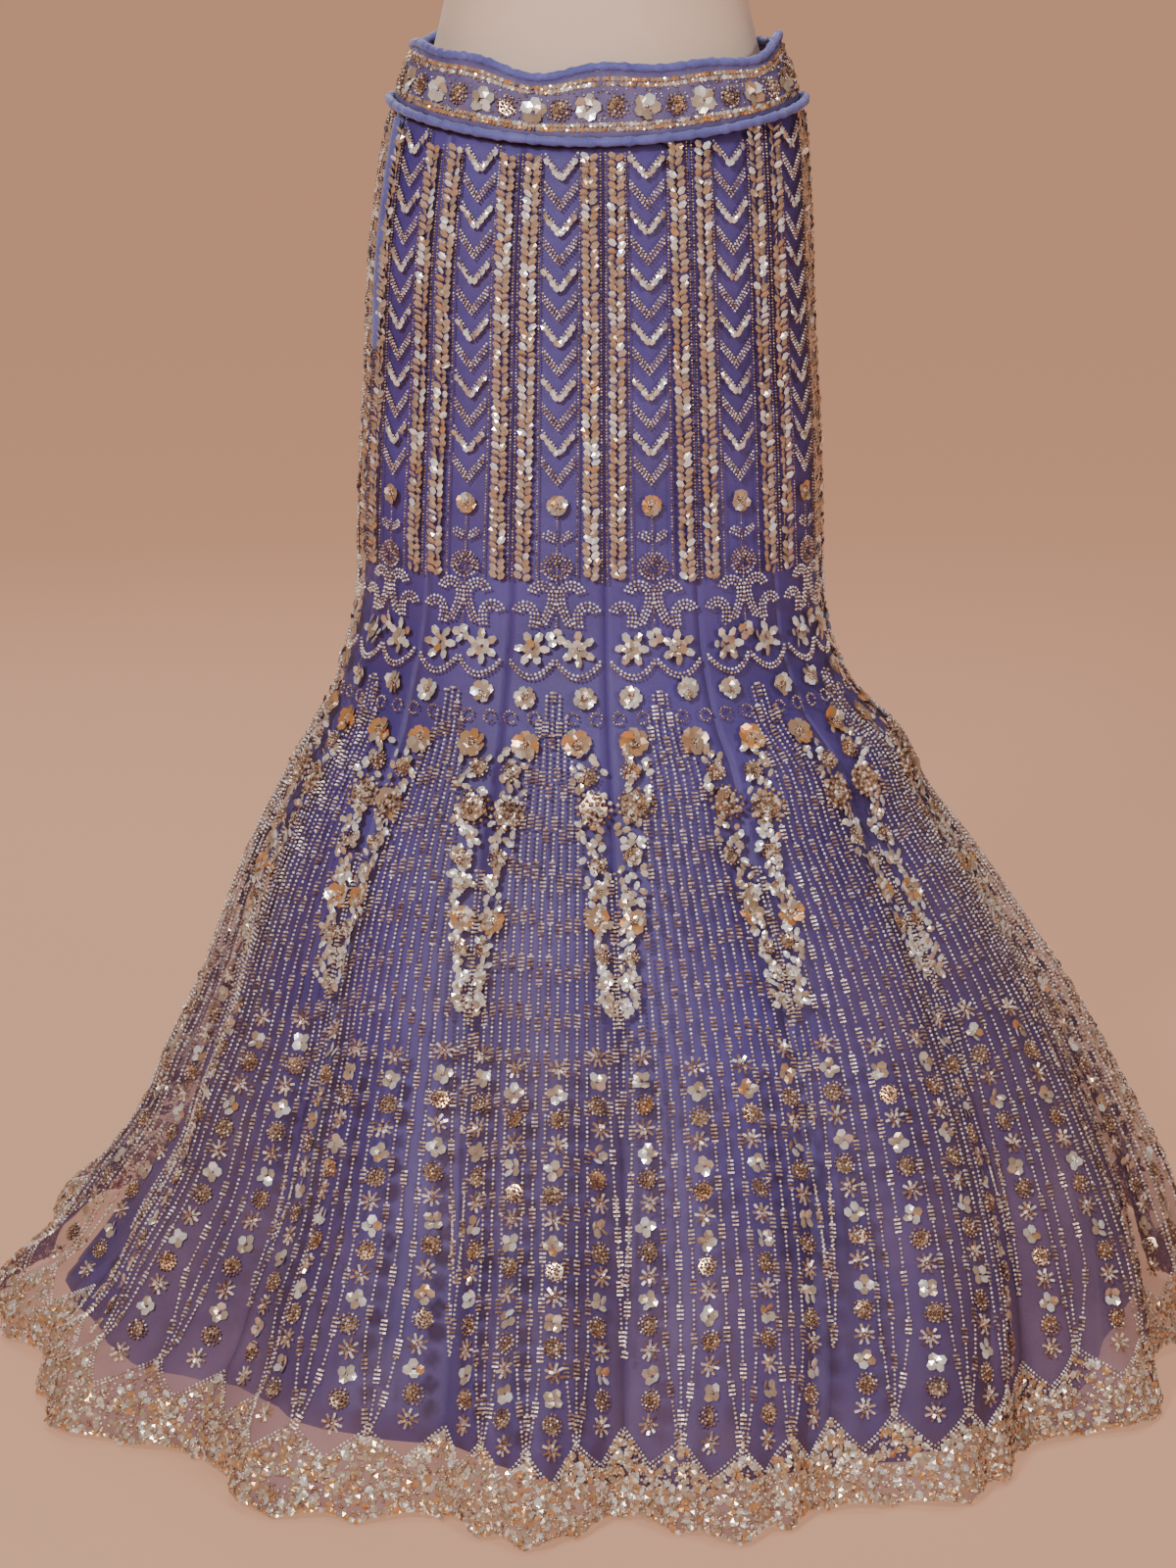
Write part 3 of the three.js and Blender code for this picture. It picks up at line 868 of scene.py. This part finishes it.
for gore in range(cut["gores"]):
    for facing in (-1, 1):
        for row in knee["crescents"]:
            crescent(gore, facing, *row)
    for sideways in (-1, 1):
        at = panelG(gore, np.array([sideways * knee["flowerAt"]]), np.array([knee["flowerZ"]]))
        stamp("knee", starFlower(), at, knee["flowerZ"], 0.3 * sideways)
        stamp("knee", petalFlower(5, 0.0072, 0.58), at, knee["flowerZ"])
        share = np.linspace(-1, 1, 40)
        x = sideways * (knee["swagAt"] + knee["swagHalf"] * share)
        for k, strand in enumerate(beadRows[:2]):
            z = knee["swagTop"] - 0.0028 * k - knee["swagSag"] * (1 - share ** 2)
            strand("knee", panelG(gore, x, z), z, 0.0028, 0.75)
    stamp("knee", petalFlower(4, 0.0072, 0.75, False), gore + 0.5, knee["leafZ"], 0.4)
pourTray("knee")
print("knee border made")

# flare: radiating strands of pearls and ladders, seam clusters, flower columns

flare = {
    "strands": 7, "step": 0.0625, "starts": [0.522, 0.520, 0.505, 0.475, 0.435, 0.385, 0.335, 0.300],
    "bottom": 0.055, "closeFrom": 0.115, "closeOver": 0.060, "outerMeet": 0.143, "outerOver": 0.11,
    # foot, top and half width of each V over a seam
    "nestedVs": [(0.300, 0.40, 0.020), (0.234, 0.33, 0.033), (0.100, 0.20, 0.035)],
    "columnTop": 0.285, "columnEnd": 0.050, "columnPitch": 0.0148, "columnRise": 0.004, "batches": 4,
}
hem = {  # shares are of the loose beads, and pearls make up the rest
    "borderLow": 0.036, "borderRise": 0.020, "beads": 1250, "lift": 0.0014, "edgePitch": 0.0034,
    "seedShare": 0.45, "sequinShare": 0.35,
}


def borderTop(g):
    return hem["borderLow"] + hem["borderRise"] * (1 - np.abs(2 * ((4 * g + 0.5) % 1) - 1))


for gore in range(cut["gores"]):
    batch = f"flareGore{gore % flare['batches']}"
    for j in range(-flare["strands"], flare["strands"] + 1):
        start = 0.5 + j * flare["step"]
        high = flare["starts"][abs(j)]
        if abs(j) == flare["strands"]:  # the outermost pair meets on the seams
            z = np.linspace(high, flare["outerMeet"], 120)
            close = np.clip((z - flare["outerMeet"]) / flare["outerOver"], 0, 1) ** 0.65
            edge = 0.0 if j < 0 else 1.0
            t = edge + (start - edge) * close
        elif abs(j) in (2, 6):  # these end above the flower columns
            z = np.linspace(high, flare["columnTop"] + flare["columnRise"], 140)
            t = np.full_like(z, start)
        else:  # the rest draw together to the peaks of the hem border
            z = np.linspace(high, flare["bottom"], 140)
            near = np.clip((flare["closeFrom"] - z) / flare["closeOver"], 0, 1) ** 1.4
            t = start + (round(4 * start) / 4 - start) * near * 0.9
        ladderStrand(batch, gore + t, z)
    for meet, top, away in flare["nestedVs"]:
        z = np.linspace(top, meet, 60)
        for sideways in (-1, 1):
            t = sideways * away * ((z - meet) / (top - meet)) ** 0.6
            ladderStrand(batch, gore + t, z)
for part in range(flare["batches"]):
    pourTray(f"flareGore{part}")

for gore in range(cut["gores"]):
    for t in (0.125, 0.375, 0.625, 0.875):
        z = flare["columnTop"] - flare["columnRise"] * (t in (0.375, 0.625))
        order = 0
        while z > flare["columnEnd"]:
            motif = columnMotifs[order % 3]
            stamp("columns", motif, gore + t + 0.006 * rng.standard_normal(), z, rng.random() * 3)
            z -= flare["columnPitch"]
            order += 1
pourTray("columns")
print("flare strands and columns made")

clusterFlowers = [  # height, metres from the seam, radius, petals (0 for a rosette), tone
    (0.518, 0.0170, 0.0085, 7, 0.62), (0.484, 0.0215, 0.0108, 7, 0.12), (0.464, 0.0150, 0.0080, 0, 0.45),
    (0.441, 0.0148, 0.0138, 0, 0.42), (0.421, 0.0120, 0.0062, 3, 0.75), (0.407, 0.0150, 0.0078, 0, 0.40),
    (0.388, 0.0110, 0.0070, 5, 0.60), (0.369, 0.0130, 0.0100, 6, 0.14), (0.349, 0.0095, 0.0070, 0, 0.45),
    (0.331, 0.0080, 0.0060, 4, 0.80), (0.316, 0.0060, 0.0050, 3, 0.85),
]
cluster = {
    "leafTop": 0.478, "leafFoot": 0.308, "leafPitch": 0.0040, "leaf": (0.0072, 0.0050, 0.0012),
    "curlZ": 0.503, "curl": 0.0044, "curlsAt": (0.0080, 0.0260),
}
curl = [
    ("seed", *onRing(cluster["curl"], a), 0.001, a, 0, ball(0.0023), 0.5, 0.2)
    for a in np.linspace(0, 5.4, 11)
]
for gore in range(cut["gores"]):
    for sideways in (-1, 1):
        for z, apart, radius, petals, tone in clusterFlowers:
            away = sideways * (apart + 0.0015 * rng.standard_normal())
            at = seamG(gore, away, z)
            motif = petalFlower(petals, radius, tone) if petals else rosette(radius, tone)
            stamp("clusters", motif, at, z + 0.002 * rng.standard_normal(), rng.random() * 2)
            if petals > 4:
                stamp("clusters", rosette(radius * 0.42, 0.5), at, z)
        for z in np.arange(cluster["leafTop"], cluster["leafFoot"], -cluster["leafPitch"]):
            share = (z - 0.30) / 0.18  # the cluster narrows on the way down
            away = sideways * (0.004 + (0.006 + 0.020 * share) * rng.random())
            leaf = [("sequin", 0, 0, 0.0016, rng.random() * 3, 0.25, cluster["leaf"], 0.72, 0.25)]
            stamp("clusters", leaf, seamG(gore, away, z), z)
            away = sideways * (0.008 + (0.006 + 0.018 * share) * rng.random())
            stamp("clusters", leaf, seamG(gore, away, z), z + 0.002)
        for apart in cluster["curlsAt"]:
            stamp("clusters", curl, seamG(gore, sideways * apart, cluster["curlZ"]), cluster["curlZ"])
pourTray("clusters")
print("seam clusters made")

# hem border: two rows of pearls on a zigzag, then packed beads and sequins down to the scalloped edge

for gore in range(cut["gores"]):
    g = gore + np.linspace(0, 1, 240)
    for k in range(2):
        pearlStrand("hemBorder", g, borderTop(g) + 0.0029 * k, 0.0025, 0.65)
    count = hem["beads"]
    gs = gore + rng.random(count)
    zs = hemEdge(gs) + (borderTop(gs) - hemEdge(gs)) * rng.random(count)
    here, across, up, out = clothFrame(netPoint, gs, zs)
    turn = rng.random(count) * 3.14
    along = across * np.cos(turn)[:, None] + up * np.sin(turn)[:, None]
    lean = out + 0.35 * (across * rng.standard_normal((count, 1)) + up * rng.standard_normal((count, 1)))
    pick = rng.random(count)
    at = here + out * hem["lift"]
    seeds = pick < hem["seedShare"]
    pearls = pick >= hem["seedShare"] + hem["sequinShare"]
    for kind, chosen, size, least, span, power in (
        ("seed", seeds, (0.0032, 0.0028, 0.0026), 0.2, 0.7, 1),
        ("sequin", ~seeds & ~pearls, (0.0072, 0.0056, 0.0012), 0.05, 0.9, 1.4),
        ("pearl", pearls, ball(0.0026), 0.3, 0.6, 1),
    ):
        tones = least + span * rng.random(chosen.sum()) ** power
        addBeads("hemBorder", kind, at[chosen], along[chosen], lean[chosen], size, tones)
    here, along, out, stops = strandPoints(g, hemEdge(g), hem["edgePitch"], 0.0006)
    tones = rng.random(len(here)) ** 1.5
    lean = out + 0.3 * rng.standard_normal((len(here), 3))
    addBeads("hemBorder", "sequin", here, along, lean, (0.0048, 0.0044, 0.0010), tones)
pourTray("hemBorder")
print("hem border made")

# waistband: sequins along both edges and a row of flowers and rosettes

bandWork = {
    "flowers": 40, "seeds": 90, "overSeam": 0.003, "sequin": (0.0044, 0.0038, 0.0009), "sequinPitch": 0.0032,
    "rows": [(0.13, 0.2), (0.20, 0.6), (0.80, 0.6), (0.88, 0.25)],  # share of the band's height, and tone
}
for k in range(bandWork["flowers"]):
    g = np.array([cut["gores"] * (k + 0.5) / bandWork["flowers"]])
    z = (waistSeam(g) + bandTop(g)) / 2
    motif = petalFlower(5, 0.0098, 0.68) if k % 2 else rosette(0.0082, 0.42)
    stamp("waist", motif, g, z, rng.random())
for gore in range(cut["gores"]):
    g = gore + np.linspace(0, 1, 60)
    low = waistSeam(g) + bandWork["overSeam"]
    for share, tone in bandWork["rows"]:
        z = low + (bandTop(g) - low) * share
        here, along, out, stops = strandPoints(g, z, bandWork["sequinPitch"], 0.0008)
        lean = out + 0.3 * rng.standard_normal((len(here), 3))
        tones = np.clip(tone + 0.25 * rng.standard_normal(len(here)), 0, 1)
        addBeads("waist", "sequin", here, along, lean, bandWork["sequin"], tones)
    count = bandWork["seeds"]
    gs = gore + rng.random(count)
    low = waistSeam(gs)
    zs = low + (bandTop(gs) - low) * (0.22 + 0.56 * rng.random(count))
    here, across, up, out = clothFrame(netPoint, gs, zs)
    addBeads("waist", "seed", here + out * 0.0008, across, out, (0.0020, 0.0019, 0.0019), rng.random(count))
pourTray("waist")
print("waistband embroidery made")

# the form

for node, material in (("form_neck_cap", capWood), ("form_pole", standSteel), ("form_foot", standSteel)):
    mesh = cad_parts[node].data
    mesh.materials.clear()
    mesh.materials.append(material)

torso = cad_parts["form_torso"].copy()
torso.data = torso.data.copy()
torso.name = "formTorso"
torso.parent = None
for key in list(torso.keys()):
    del torso[key]
bpy.context.scene.collection.objects.link(torso)
bm = bmesh.new()
bm.from_mesh(torso.data)
bmesh.ops.remove_doubles(bm, verts=bm.verts, dist=weldDistance)
bmesh.ops.join_triangles(bm, faces=bm.faces, angle_face_threshold=0.6, angle_shape_threshold=1.2)
for face in bm.faces:
    face.smooth = True
bm.to_mesh(torso.data)
bm.free()
torso.data.materials.clear()
torso.data.materials.append(formJersey)
smoothing = torso.modifiers.new("smoothing", "SUBSURF")
smoothing.levels = 2
smoothing.render_levels = 2
finishPiece(torso, "form_linen", "form_torso")
print("form made")

# floor, backdrop and lights

stage = {
    "floor": 14.0, "color": (0.22, 0.12, 0.075, 1), "tan": (0.62, 0.31, 0.185, 1),
    "glow": 0.9, "seenAir": 0.93, "lightingAir": 0.12,
}
bm = bmesh.new()
bmesh.ops.create_grid(bm, x_segments=1, y_segments=1, size=stage["floor"])
mesh = bpy.data.meshes.new("studioFloor")
bm.to_mesh(mesh)
bm.free()
floorPaint, floorShader = newMaterial("studioFloor", Roughness=0.9)
floorShader.inputs["Base Color"].default_value = stage["color"]
floorShader.inputs["Emission Color"].default_value = stage["tan"]
floorShader.inputs["Emission Strength"].default_value = stage["glow"]
mesh.materials.append(floorPaint)
floor = bpy.data.objects.new("studioFloor", mesh)
bpy.context.scene.collection.objects.link(floor)

world = bpy.data.worlds.new("studioAir")
world.use_nodes = True
airTree = world.node_tree
airTree.nodes["Background"].inputs["Color"].default_value = stage["tan"]
lightPath = addNode(airTree, "ShaderNodeLightPath")
airShare = addNode(airTree, "ShaderNodeMapRange")
airShare.inputs["To Min"].default_value = stage["lightingAir"]
airShare.inputs["To Max"].default_value = stage["seenAir"]
airTree.links.new(lightPath.outputs["Is Camera Ray"], airShare.inputs["Value"])
airTree.links.new(airShare.outputs["Result"], airTree.nodes["Background"].inputs["Strength"])
bpy.context.scene.world = world

# for each light: where it stands, the height that it faces, its size and its power
lights = {
    "keyLight": ((-1.3, -2.9, 2.5), 0.45, 0.45, 110),
    "fillLight": ((2.0, -2.6, 1.6), 0.45, 0.6, 32),
    "topLight": ((0.3, 0.4, 3.2), 0.4, 1.5, 40),
    "backLight": ((-1.0, 2.6, 2.2), 0.6, 1.5, 40),
}
for name, (place, faces, size, power) in lights.items():
    data = bpy.data.lights.new(name, "AREA")
    data.size = size
    data.energy = power
    lamp = bpy.data.objects.new(name, data)
    lamp.location = place
    lamp.rotation_euler = (Vector((0, 0, faces)) - Vector(place)).to_track_quat("-Z", "Y").to_euler()
    bpy.context.scene.collection.objects.link(lamp)
